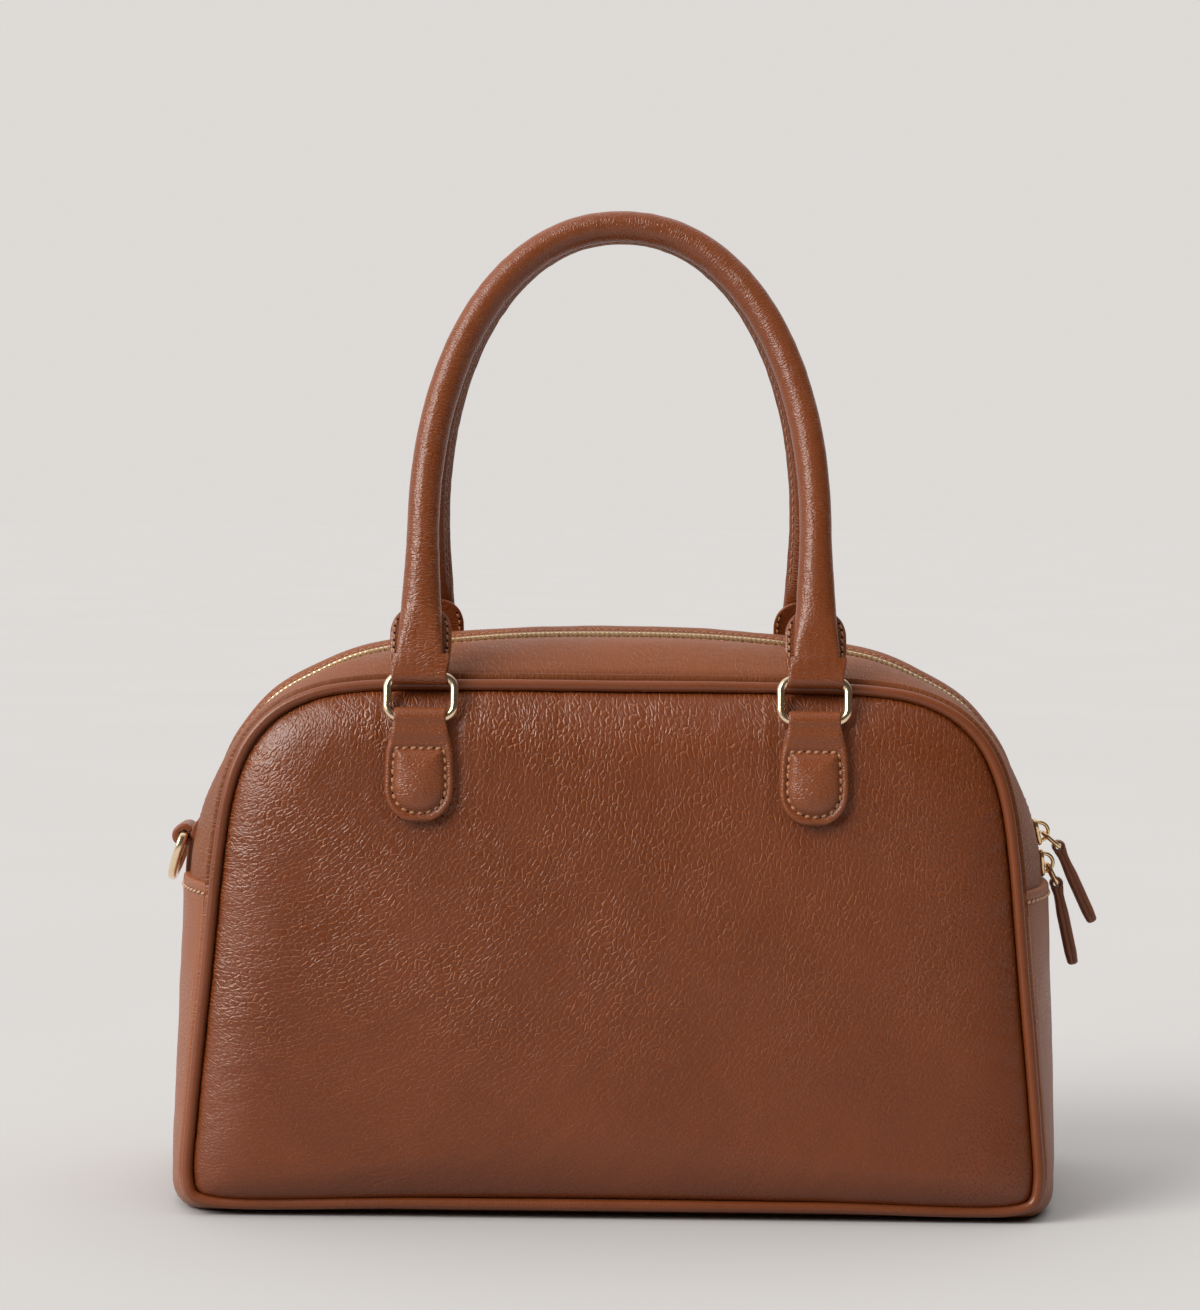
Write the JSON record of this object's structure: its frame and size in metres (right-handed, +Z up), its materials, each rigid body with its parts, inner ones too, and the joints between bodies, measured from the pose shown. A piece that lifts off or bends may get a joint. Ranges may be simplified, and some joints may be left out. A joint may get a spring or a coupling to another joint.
{
  "type": "zip-top leather handbag with two rolled handles",
  "caption": "Rounded leather zip-top bag on a flat base, with piped panels, rolled top handles on wire rings, leather zip pulls and a side D-ring for a strap.",
  "frame": {"origin": "middle of the flat base, on the surface the bag stands on", "axes": "+Z up, -Y out of the front panel, +X to the right seen from the front"},
  "size_m": [0.3279, 0.131, 0.343],
  "materials": {
    "body_leather": "pebbled full grain, satin",
    "trim_leather": "fine grain, satin",
    "pull_leather": "smooth, satin",
    "gold_metal": "polished pale gold plate",
    "zip_cloth": "woven zip tape"
  },
  "bodies": {
    "bag": {"front_panel": "body_leather", "back_panel": "body_leather", "piping_front": "trim_leather", "piping_back": "trim_leather", "gusset_lower": "body_leather", "zip_strip_front": "body_leather", "zip_strip_back": "body_leather", "zip_tape": "zip_cloth", "zip_teeth": "gold_metal", "handle_tab_front_left": "trim_leather", "handle_tab_front_right": "trim_leather", "handle_tab_back_left": "trim_leather", "handle_tab_back_right": "trim_leather", "side_tab_left": "trim_leather", "zip_slider_upper": "gold_metal", "zip_slider_lower": "gold_metal", "pull_link_upper": "gold_metal", "pull_link_lower": "gold_metal", "zip_pull_upper": "pull_leather", "zip_pull_lower": "pull_leather"},
    "front_handle": {"handle_front": "trim_leather", "ring_front_left": "gold_metal", "ring_front_right": "gold_metal"},
    "back_handle": {"handle_back": "trim_leather", "ring_back_left": "gold_metal", "ring_back_right": "gold_metal"},
    "d_ring": {"d_ring_left": "gold_metal"}
  },
  "joints": [
    {"name": "handle_front_swing", "type": "hinge", "parent": "bag", "child": "front_handle", "pos_m": [0, -0.0573, 0.1685], "axis": [1, 0, 0], "range_deg": [0, 160]},
    {"name": "handle_back_swing", "type": "hinge", "parent": "bag", "child": "back_handle", "pos_m": [0, 0.0573, 0.1685], "axis": [-1, 0, 0], "range_deg": [0, 160]},
    {"name": "d_ring_left_swing", "type": "hinge", "parent": "bag", "child": "d_ring", "pos_m": [-0.15188, 0, 0.12301], "axis": [0, 1, 0], "range_deg": [0, 150]}
  ]
}
